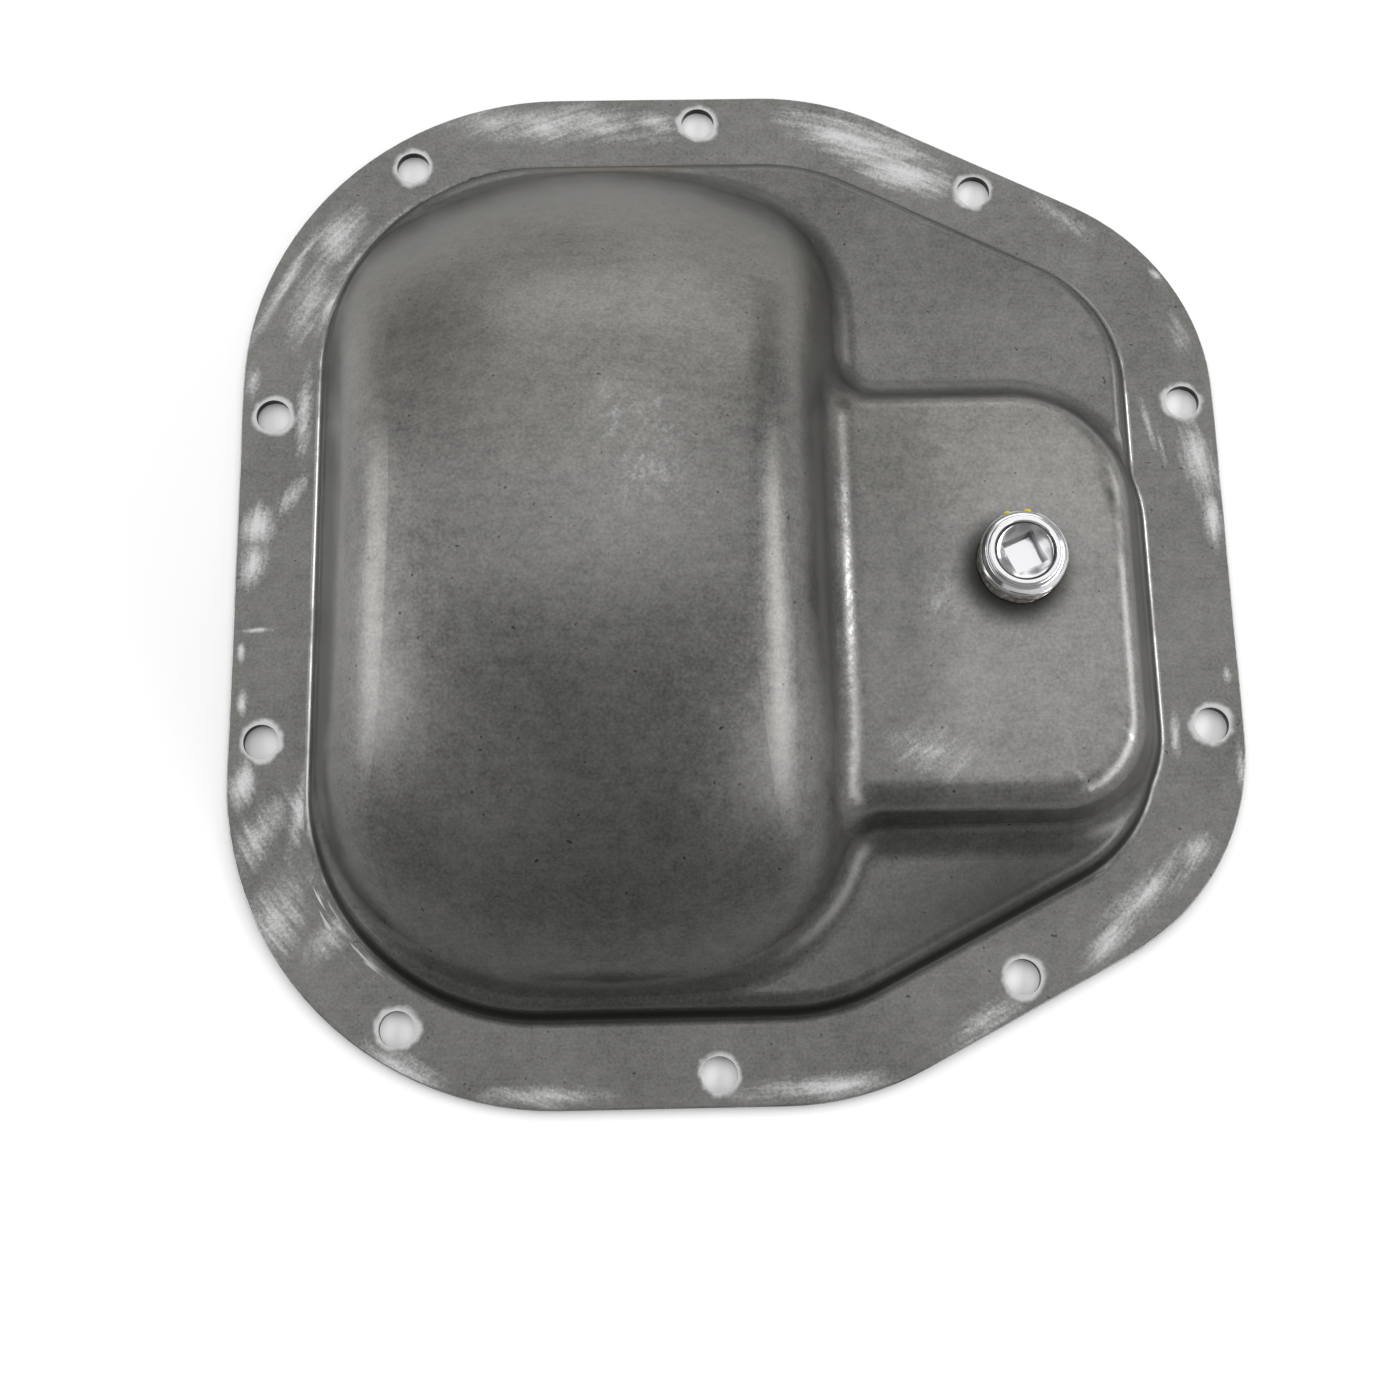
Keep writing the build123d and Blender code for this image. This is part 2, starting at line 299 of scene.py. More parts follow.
def swing(tree, value, width):
    """A value between 0 and 1, turned into a swing about zero of this width."""
    return times(tree, minus(tree, value, 0.5), width)


def ramp_between(tree, value, low, high):
    """0 below low, 1 above high, and smooth between."""
    values = {"Value": value, "From Min": low, "From Max": high}
    return node(tree, "ShaderNodeMapRange", values, interpolation_type="SMOOTHSTEP").outputs[0]


def ramp_down(tree, value, low, high):
    """1 below low, 0 above high, and smooth between."""
    values = {"Value": value, "From Min": low, "From Max": high, "To Min": 1.0, "To Max": 0.0}
    return node(tree, "ShaderNodeMapRange", values, interpolation_type="SMOOTHSTEP").outputs[0]


def band(tree, value, low, high, fade):
    """1 between low and high, fading to 0 on both sides."""
    return times(tree, ramp_between(tree, value, low - fade, low), ramp_down(tree, value, high, high + fade))


def vector(tree, operation, first, second):
    """The result of one step of arithmetic on places."""
    return node(tree, "ShaderNodeVectorMath", {0: first, 1: second}, operation=operation).outputs[0]


def split(tree, place):
    """The X, Y and Z of a place."""
    return tuple(node(tree, "ShaderNodeSeparateXYZ", {0: place}).outputs)


def join(tree, x, y, z=0.0):
    """A place from its X, Y and Z."""
    return node(tree, "ShaderNodeCombineXYZ", {0: x, 1: y, 2: z}).outputs[0]


def flat_length(tree, offset):
    """The length of an offset, seen from above."""
    flat = vector(tree, "MULTIPLY", offset, (1, 1, 0))
    return node(tree, "ShaderNodeVectorMath", {0: flat}, operation="LENGTH").outputs["Value"]


def mix_colour(tree, share, first, second):
    """A colour mixed from two, by a share."""
    return node(tree, "ShaderNodeMix", {0: share, 6: first, 7: second}, data_type="RGBA").outputs[2]


def scale_colour(tree, colour, tone):
    """A colour with its brightness multiplied."""
    if not isinstance(colour, bpy.types.NodeSocket):
        colour = tuple(colour)[:3]
    return node(tree, "ShaderNodeVectorMath", {0: colour, "Scale": tone}, operation="SCALE").outputs[0]


def noise(tree, place, scale, detail=2.0, roughness=0.5, stretch=(1, 1, 1)):
    """Noise with a scale in features per metre, stretched along the axes."""
    if stretch != (1, 1, 1):
        place = node(tree, "ShaderNodeMapping", {"Vector": place, "Scale": stretch}).outputs[0]
    values = {"Vector": place, "Scale": scale, "Detail": detail, "Roughness": roughness}
    return node(tree, "ShaderNodeTexNoise", values).outputs["Fac"]


def new_material(name):
    """A material with an empty tree, its shader, and its coordinates."""
    material = bpy.data.materials.new(name)
    material.use_nodes = True
    tree = material.node_tree
    tree.nodes.clear()
    output = tree.nodes.new("ShaderNodeOutputMaterial")
    shader = tree.nodes.new("ShaderNodeBsdfPrincipled")
    tree.links.new(shader.outputs[0], output.inputs["Surface"])
    return material, tree, shader, tree.nodes.new("ShaderNodeTexCoord")


def feed(tree, target, **sockets):
    """Links or sets a node's inputs; an underscore in a name stands for a space."""
    for name, value in sockets.items():
        put(tree, target.inputs[name.replace("_", " ")], value)


def bump(tree, height, strength, distance):
    """A normal bent by a height."""
    values = {"Height": height, "Strength": strength, "Distance": distance}
    return node(tree, "ShaderNodeBump", values).outputs[0]


def use(tree, group, **values):
    """A group placed in a tree, with its inputs fed."""
    placed = node(tree, "ShaderNodeGroup", node_tree=group)
    feed(tree, placed, **values)
    return placed.outputs


def finish_piece(piece, material, body=ROOT):
    """Gives a new piece its finish and fastens it to the model's body."""
    piece.data.materials.clear()
    piece.data.materials.append(material)
    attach(piece, body)


def dress_node(name, material):
    """Gives a solid of the model its finish, in its own material slot."""
    target = frame["nodes"][name]
    if not target.material_slots:
        target.data.materials.append(material)
    for slot in target.material_slots:
        slot.material = material


# Small helpers for modelling

def start_fresh():
    """Leaves edit mode and deselects everything."""
    if bpy.context.object and bpy.context.object.mode != "OBJECT":
        bpy.ops.object.mode_set(mode="OBJECT")
    bpy.ops.object.select_all(action="DESELECT")


def make_active(piece):
    """Selects one piece alone and makes it the active one."""
    bpy.ops.object.select_all(action="DESELECT")
    piece.select_set(True)
    bpy.context.view_layer.objects.active = piece


def settle(piece, name):
    """Names a piece and moves its place into its mesh."""
    bpy.ops.object.transform_apply(location=True, rotation=True, scale=True)
    piece.name = name
    piece.data.name = name


def apply_modifier(piece, kind, **settings):
    """Adds one modifier to the active piece and applies it."""
    modifier = piece.modifiers.new(kind, kind)
    for key, value in settings.items():
        setattr(modifier, key, value)
    bpy.ops.object.modifier_apply(modifier=modifier.name)


# Effects that several finishes share

def spot_group():
    """Adds a soft oval spot, turned and stretched, to a level that travels with its place.

    X and Y hold the place and Z the strongest level so far, so that a row of spots is
    worked out one by one and stays cheap however long it is.
    """
    inputs = [
        ("Place and Level", "NodeSocketVector", (0, 0, 0)),
        ("Centre", "NodeSocketVector", (0, 0, 0)),
        ("Turn", "NodeSocketVector", (0, 0, 0)),
        ("Size", "NodeSocketVector", (0.03, 0.01, SPOT_HEIGHT)),
        ("Strength", "NodeSocketFloat", 1.0),
    ]
    group, start, end = new_group("Oval Spot", inputs, [("Place and Level", "NodeSocketVector")])
    before = start.outputs["Place and Level"]
    shares = node(group, "ShaderNodeMapping", {
        "Vector": before, "Location": start.outputs["Centre"], "Rotation": start.outputs["Turn"],
        "Scale": start.outputs["Size"],
    }, vector_type="TEXTURE").outputs[0]
    fade = node(group, "ShaderNodeTexGradient", {0: shares}, gradient_type="SPHERICAL").outputs["Fac"]
    level = times(group, fade, start.outputs["Strength"])
    after = vector(group, "MAXIMUM", before, join(group, -1.0, -1.0, level))
    group.links.new(after, end.inputs["Place and Level"])
    return group


def rubbed_group():
    """Breaks a soft mask up into clouds, streaks round the middle and bright grains."""
    inputs = [("Place", "NodeSocketVector", (0, 0, 0)), ("Level", "NodeSocketFloat", 0.0)]
    group, start, end = new_group("Rubbed Steel", inputs, [("Mask", "NodeSocketFloat")])
    place = start.outputs["Place"]
    level = start.outputs["Level"]
    x, y = split(group, place)[:2]
    around = times(group, maths(group, "ARCTAN2", y, x), 0.014)
    streaks = noise(group, join(group, flat_length(group, place), around), 480.0, 4.0, 0.65)
    wander = noise(group, place, 60.0, 5.0, 0.65)
    grains = noise(group, place, 1250.0, 2.0, 0.7)
    broken = plus(
        group, times(group, level, 1.4), swing(group, wander, 1.1), swing(group, streaks, 1.5),
        swing(group, grains, 1.1),
    )
    mask = times(group, ramp_between(group, broken, 0.1, 1.5), ramp_between(group, level, 0.0, 0.22))
    group.links.new(mask, end.inputs["Mask"])
    return group


def ring_group():
    """A ring around a point in the XY plane, such as the bright burr around a drilled hole."""
    inputs = [
        ("Place", "NodeSocketVector", (0, 0, 0)),
        ("Grain Place", "NodeSocketVector", (0, 0, 0)),
        ("Centre", "NodeSocketVector", (0, 0, 0)),
        ("Inner", "NodeSocketFloat", 0.005),
        ("Outer", "NodeSocketFloat", 0.009),
    ]
    group, start, end = new_group("Hole Ring", inputs, [("Mask", "NodeSocketFloat")])
    offset = vector(group, "SUBTRACT", start.outputs["Place"], start.outputs["Centre"])
    wander = noise(group, start.outputs["Grain Place"], 140.0, 3.0, 0.6)
    far = plus(group, flat_length(group, offset), swing(group, wander, 4.5 * MM))
    mask = ramp_down(group, far, start.outputs["Inner"], start.outputs["Outer"])
    group.links.new(mask, end.inputs["Mask"])
    return group


def steel_grain_group():
    """Grey variation of rolled sheet: fine grain, faint rolling lines, clouds and dark specks."""
    inputs = [("Place", "NodeSocketVector", (0, 0, 0))]
    outputs = [("Tone", "NodeSocketFloat"), ("Height", "NodeSocketFloat")]
    group, start, end = new_group("Steel Grain", inputs, outputs)
    place = start.outputs["Place"]
    grain = noise(group, place, 1100.0, 2.0, 0.6)
    lines = noise(group, place, 900.0, 3.0, 0.6, stretch=(0.07, 1, 0.07))
    clouds = noise(group, place, 22.0, 4.0, 0.55)
    spots = noise(group, place, 260.0, 2.0, 0.5)
    specks = noise(group, place, 520.0, 1.0, 0.5)
    tone = plus(
        group, 1.0, swing(group, grain, 0.95), swing(group, lines, 0.24),
        swing(group, clouds, 0.85), swing(group, spots, 0.5),
    )
    dark = ramp_between(group, specks, 0.74, 0.8)
    tone = times(group, tone, minus(group, 1.0, times(group, dark, 0.6)))
    group.links.new(tone, end.inputs["Tone"])
    height = plus(group, times(group, grain, 0.5), times(group, lines, 0.15))
    group.links.new(height, end.inputs["Height"])
    return group


def arc_scratch_group():
    """Thin scratches that run round a centre, between two radii and two angles."""
    inputs = [
        ("Place", "NodeSocketVector", (0, 0, 0)),
        ("Centre", "NodeSocketVector", (0, 0, 0)),
        ("Radius", "NodeSocketFloat", 0.07),
        ("Half Width", "NodeSocketFloat", 0.004),
        ("From Angle", "NodeSocketFloat", 0.0),
        ("To Angle", "NodeSocketFloat", 1.0),
    ]
    group, start, end = new_group("Arc Scratches", inputs, [("Mask", "NodeSocketFloat")])
    offset = vector(group, "SUBTRACT", start.outputs["Place"], start.outputs["Centre"])
    x, y = split(group, offset)[:2]
    far = flat_length(group, offset)
    angle = maths(group, "ARCTAN2", y, x)
    lines = noise(group, join(group, far, times(group, angle, 0.006)), 900.0, 2.0, 0.6)
    gap = maths(group, "ABSOLUTE", minus(group, far, start.outputs["Radius"]))
    share = maths(group, "DIVIDE", gap, start.outputs["Half Width"])
    near = maths(group, "SUBTRACT", 1.0, share, clamp=True)
    after = ramp_between(group, minus(group, angle, start.outputs["From Angle"]), 0.0, 0.15)
    before = ramp_between(group, minus(group, start.outputs["To Angle"], angle), 0.0, 0.15)
    mask = times(group, ramp_between(group, lines, 0.54, 0.66), near, after, before)
    group.links.new(mask, end.inputs["Mask"])
    return group


def all_spots(tree, effects, place, spots, spread=1.0):
    """The strongest of several oval spots, given in mm and degrees, spread wider if asked."""
    level = join(tree, *split(tree, place)[:2])
    for x, y, turn, length, width, strength in spots:
        level = use(
            tree, effects["spot"], Place_and_Level=level, Centre=(x * MM, y * MM, 0),
            Turn=(0, 0, radians(turn)), Strength=strength,
            Size=(spread * length * MM, spread * width * MM, SPOT_HEIGHT),
        )[0]
    return split(tree, level)[2]


# Finishes

def cover_bright(tree, effects, place, facing):
    """Where the sheet is bright: rubbed patches, worn spots, burrs, scratches, painted light on the dome,
    painted highlights along the valley and the step's foot, and the outline, partly burnished and partly a
    painted highlight.
    """
    x, y, z = split(tree, place)
    outer = all_spots(tree, effects, place, RUBBED_SPOTS, RUBBED_SPREAD)
    outer = times(tree, outer, ramp_down(tree, z, FLANGE_TOP + 1.3 * MM, FLANGE_TOP + 3.3 * MM))
    # Worn spots on the pad, with painted light on the dome and a painted highlight along the valley
    inner = all_spots(tree, effects, place, WORN_AND_HIGHLIGHT_SPOTS)
    inner = times(tree, inner, ramp_between(tree, z, PAD_TOP - 8.7 * MM, PAD_TOP - 4.7 * MM))
    rubbed_and_highlight = use(tree, effects["rubbed_and_highlight"], Place=place, Level=largest(tree, outer, inner))[0]

    on_flange = ramp_down(tree, z, FLANGE_TOP + 0.5 * MM, FLANGE_TOP + 1.1 * MM)
    mirror = join(tree, x, maths(tree, "ABSOLUTE", y), z)
    rings = 0.0
    for hole_x, hole_y in HOLES:
        ring = use(
            tree, effects["ring"], Place=mirror, Grain_Place=place,
            Centre=(hole_x * MM, hole_y * MM, 0), Inner=5.2 * MM, Outer=7.0 * MM,
        )[0]
        rings = largest(tree, rings, ring)
    rings = times(tree, rings, on_flange, 0.85)

    first_angle, last_angle = ARC_ANGLES
    scratches = use(
        tree, effects["arcs"], Place=place, Centre=(*ARC_CENTRE, 0), Radius=ARC_RADIUS,
        Half_Width=ARC_HALF_WIDTH, From_Angle=first_angle, To_Angle=last_angle,
    )[0]
    scratches = times(tree, scratches, on_flange)

    # Painted highlight along the foot of the step at its left and right sides
    foot_highlight = times(
        tree, ramp_between(tree, z, FLANGE_TOP + 0.005 * MM, FLANGE_TOP + 0.1 * MM),
        ramp_down(tree, z, FLANGE_TOP + 0.3 * MM, FLANGE_TOP + 0.7 * MM),
        ramp_between(tree, maths(tree, "ABSOLUTE", x), 95 * MM, 114 * MM),
        ramp_between(tree, noise(tree, place, 60.0, 4.0, 0.6), 0.3, 0.55), 0.7,
    )
    # The rounded outer edge of the flange, partly burnished and partly a painted highlight
    outline_burnish_and_highlight = times(
        tree, ramp_between(tree, z, FLANGE_TOP - 0.4 * MM, FLANGE_TOP - 0.28 * MM),
        ramp_down(tree, z, FLANGE_TOP - 0.02 * MM, FLANGE_TOP - 0.002 * MM),
        ramp_between(tree, facing, 0.05, 0.2),
        ramp_between(tree, noise(tree, place, 30.0, 4.0, 0.6), 0.35, 0.6), 0.8,
    )
    return largest(tree, rubbed_and_highlight, rings, foot_highlight, scratches, outline_burnish_and_highlight)


def rim_shade(tree, y, z):
    """Painted shade where the step rises from the flange, stronger at the two ends."""
    low_end = ramp_down(tree, y, -105 * MM, 0 * MM)
    high_end = ramp_between(tree, y, 70 * MM, 120 * MM)
    line = band(tree, z, FLANGE_TOP + 0.9 * MM, FLANGE_TOP + 4.0 * MM, 0.7 * MM)
    line = times(tree, line, plus(tree, 0.38, times(tree, low_end, 0.6), times(tree, high_end, 0.6)))
    soft = times(
        tree, ramp_between(tree, z, FLANGE_TOP + 0.01 * MM, FLANGE_TOP + 0.25 * MM),
        ramp_down(tree, z, FLANGE_TOP + 4.0 * MM, FLANGE_TOP + 7.8 * MM),
        largest(tree, low_end, high_end), 0.7,
    )
    return largest(tree, line, soft)


def cover_dark(tree, effects, place, facing):
    """Where the sheet is dark: dark cut edges and scuffs, painted shade in the bends, at the step's foot and
    its lower right corner, and painted shadow round the plug.
    """
    x, y, z = split(tree, place)
    upright = ramp_down(tree, maths(tree, "ABSOLUTE", facing), 0.45, 0.7)
    edge = times(tree, upright, ramp_down(tree, z, FLANGE_TOP - 0.2 * MM, FLANGE_TOP))
    ends = ramp_between(tree, maths(tree, "ABSOLUTE", y), 100 * MM, 120 * MM)
    # Painted shade in the bend where the dome and the pad rise from the step
    crease_shade = times(
        tree, ramp_between(tree, z, STEP_TOP + 0.02 * MM, STEP_TOP + 0.4 * MM),
        ramp_down(tree, z, STEP_TOP + 1.5 * MM, STEP_TOP + 5 * MM),
        largest(tree, ramp_between(tree, x, -10 * MM, 15 * MM), times(tree, ends, 1.4)), 0.32,
    )
    # Painted shade on the step's lower right corner, beside the pad's wall
    corner_shade = times(
        tree, all_spots(tree, effects, place, CORNER_SHADE_SPOTS),
        ramp_down(tree, z, STEP_TOP + 1.3 * MM, STEP_TOP + 13.3 * MM),
        ramp_between(tree, z, FLANGE_TOP + 1.3 * MM, FLANGE_TOP + 3.3 * MM),
    )
    scuffs = times(
        tree, all_spots(tree, effects, place, SCUFF_SPOTS),
        ramp_between(tree, z, PAD_TOP - 10.7 * MM, PAD_TOP - 6.7 * MM),
        noise(tree, place, 300.0, 3.0), 1.2,
    )
    # Painted shadow on the pad round the plug's foot
    plug_shadow = ramp_between(tree, all_spots(tree, effects, place, PLUG_SHADOW_SPOTS), 0.0, 0.42)
    plug_shadow = times(tree, plug_shadow, ramp_between(tree, z, PAD_TOP - 4.7 * MM, PAD_TOP - 0.7 * MM), 0.85)
    return largest(tree, edge, plug_shadow, crease_shade, rim_shade(tree, y, z), corner_shade, scuffs)


def painted_light_tone(tree, place):
    """Painted light and shade on the bare sheet: painted light on the pad and high on the dome, painted
    shade at the upper and lower ends.
    """
    x, y, z = split(tree, place)
    pad = band(tree, z, PAD_TOP - 1 * MM, PAD_TOP + 0.2 * MM, 3 * MM)
    pad = times(tree, pad, ramp_between(tree, x, 46 * MM, 64 * MM))
    raised = ramp_between(tree, z, STEP_TOP - 4.7 * MM, STEP_TOP - 0.7 * MM)
    top = times(tree, ramp_between(tree, y, 50 * MM, 115 * MM), raised)
    bottom = times(tree, ramp_down(tree, y, -110 * MM, -50 * MM), raised)
    high = ramp_between(tree, z, PAD_TOP + 5.3 * MM, PAD_TOP + 21.3 * MM)
    return plus(
        tree, 0.91, times(tree, pad, 0.36), times(tree, high, 0.13), times(tree, top, -0.2),
        times(tree, bottom, -0.24),
    )


def cover_steel(settings, effects):
    """Bare satin sheet: grain, rubbed patches, dark cut edges, a painted highlight along the step's foot,
    and painted light and shade over the sheet and in its bends.
    """
    material, tree, shader, coordinates = new_material("cover_steel")
    place = coordinates.outputs["Object"]
    facing = split(tree, coordinates.outputs["Normal"])[2]
    grain = use(tree, effects["grain"], Place=place)
    bright = cover_bright(tree, effects, place, facing)
    dark = cover_dark(tree, effects, place, facing)
    rust = all_spots(tree, effects, place, RUST_SPOTS)
    rust = times(tree, rust, noise(tree, place, 160.0, 4.0, 0.6), 0.6)
    y, z = split(tree, place)[1:]
    olive = times(
        tree, ramp_between(tree, y, -20 * MM, 90 * MM),
        ramp_between(tree, z, STEP_TOP - 2.7 * MM, STEP_TOP + 19.3 * MM), 0.8,
    )
    colour = mix_colour(tree, olive, settings.steel, settings.tarnish)
    # The tone paints light on the pad and the dome and paints shade at the two ends
    colour = scale_colour(tree, colour, times(tree, grain["Tone"], painted_light_tone(tree, place)))
    # Rubbed steel, with painted light and painted highlights
    colour = mix_colour(tree, bright, colour, settings.rubbed_and_highlight)
    colour = mix_colour(tree, rust, colour, RUST)
    # Dark cut edges and scuffs, with painted shade and painted shadow
    colour = mix_colour(tree, dark, colour, settings.grime_and_shade)
    rough = plus(
        tree, settings.roughness, times(tree, bright, -0.18), times(tree, dark, 0.15),
        times(tree, minus(tree, grain["Tone"], 1.0), 0.12),
    )
    feed(
        tree, shader, Base_Color=colour, Metallic=0.92, Roughness=rough,
        Normal=bump(tree, grain["Height"], 0.22, 0.12 * MM),
    )
    return material


def plug_steel(settings):
    """Bright plating, worn and stained towards the bottom of the thread, with a painted dark reflection in
    the dish.
    """
    material, tree, shader, coordinates = new_material("plug_steel")
    place = coordinates.outputs["Object"]
    z = split(tree, place)[2]
    far = flat_length(tree, vector(tree, "SUBTRACT", place, tuple(PLUG_AXIS)))
    blotches = noise(tree, place, 420.0, 4.0, 0.65)
    fine = noise(tree, place, 2600.0, 2.0, 0.6)
    wear = times(
        tree, ramp_down(tree, z, PAD_TOP + 4 * MM, PAD_TOP + 9 * MM),
        ramp_between(tree, blotches, 0.25, 0.55), ramp_between(tree, far, 9 * MM, 10.5 * MM),
    )
    stain = times(tree, wear, ramp_between(tree, noise(tree, place, 900.0, 2.0), 0.52, 0.66))
    inside = times(tree, ramp_down(tree, far, 7.9 * MM, 8.5 * MM), ramp_between(tree, far, 5 * MM, 6 * MM))
    # Dark blotches in the dish, a painted reflection
    dish_reflection = times(tree, inside, ramp_between(tree, noise(tree, place, 150.0, 2.0), 0.38, 0.62), 0.75)
    colour = mix_colour(tree, dish_reflection, settings.plating, PAINTED_DISH_REFLECTION)
    colour = mix_colour(tree, times(tree, wear, 0.85), colour, settings.worn)
    colour = mix_colour(tree, times(tree, stain, 0.7), colour, THREAD_STAIN)
    rough = plus(tree, 0.15, times(tree, wear, 0.3), times(tree, fine, 0.06))
    height = plus(tree, times(tree, fine, 0.3), times(tree, blotches, wear))
    feed(
        tree, shader, Base_Color=colour, Metallic=1.0, Roughness=rough,
        Normal=bump(tree, height, 0.15, 0.08 * MM),
    )
    return material


def boss_steel(effects):
    """Turned steel with rings from the lathe and heat tints by the weld."""
    material, tree, shader, coordinates = new_material("boss_steel")
    place = coordinates.outputs["Object"]
    offset = vector(tree, "SUBTRACT", place, tuple(PLUG_AXIS))
    rings = noise(tree, join(tree, flat_length(tree, offset), split(tree, offset)[2]), 2200.0, 2.0, 0.6)
    heat = ramp_between(tree, split(tree, place)[2], BOSS_TOP - 7 * MM, BOSS_TOP - 2 * MM)
    blotches = noise(tree, place, 140.0, 3.0, 0.6)
    grain = use(tree, effects["grain"], Place=place)
    colour = scale_colour(tree, TURNED_STEEL, grain["Tone"])
    colour = mix_colour(tree, times(tree, heat, blotches), colour, HEAT_TINT)
    rough = plus(tree, 0.34, times(tree, rings, 0.12))
    feed(
        tree, shader, Base_Color=colour, Metallic=0.95, Roughness=rough,
        Normal=bump(tree, rings, 0.25, 0.05 * MM),
    )
    return material


def weld_steel():
    """Dark oxide skin on a weld bead, scraped bright on its ripples."""
    material, tree, shader, coordinates = new_material("weld_steel")
    place = coordinates.outputs["Object"]
    blotches = noise(tree, place, 260.0, 4.0, 0.6)
    fine = noise(tree, place, 1500.0, 2.0, 0.6)
    scraped = ramp_between(tree, blotches, 0.4, 0.65)
    colour = mix_colour(tree, scraped, WELD_OXIDE, WELD_SCRAPED)
    feed(
        tree, shader, Base_Color=colour, Metallic=0.85, Roughness=plus(tree, 0.38, times(tree, fine, 0.2)),
        Normal=bump(tree, plus(tree, blotches, fine), 0.3, 0.1 * MM),
    )
    return material


def sealant_finish():
    """Dry yellow thread sealant."""
    material, tree, shader, coordinates = new_material("thread_sealant")
    blotches = noise(tree, coordinates.outputs["Object"], 900.0, 3.0, 0.6)
    colour = mix_colour(tree, blotches, SEALANT_DARK, SEALANT_LIGHT)
    feed(
        tree, shader, Base_Color=colour, Roughness=plus(tree, 0.5, times(tree, blotches, 0.2)),
        Normal=bump(tree, blotches, 0.3, 0.1 * MM),
    )
    return material


def floor_finish(settings):
    """Plain pale studio floor."""
    material, tree, shader, coordinates = new_material("studio_floor")
    cloud = noise(tree, coordinates.outputs["Object"], 3.0, 2.0, 0.5)
    colour = scale_colour(tree, settings.floor, plus(tree, 0.99, times(tree, cloud, 0.02)))
    feed(tree, shader, Base_Color=colour, Roughness=0.9, Specular_IOR_Level=0.1)
    return material


def effect_groups():
    """The shared effects, made once."""
    makers = {
        "spot": ("Oval Spot", spot_group),
        "rubbed_and_highlight": ("Rubbed Steel", rubbed_group),
        "ring": ("Hole Ring", ring_group),
        "grain": ("Steel Grain", steel_grain_group),
        "arcs": ("Arc Scratches", arc_scratch_group),
    }
    return {key: bpy.data.node_groups.get(name) or maker() for key, (name, maker) in makers.items()}


# Pieces

class AXLECOVER_OT_sheet(bpy.types.Operator):
    """Give the pressed cover its bare steel finish"""
    bl_idname = "axlecover.sheet"
    bl_label = "Pressed Sheet"

    def execute(self, context):
        dress_node("cover", cover_steel(context.scene.axlecover_sheet, effect_groups()))
        return {"FINISHED"}


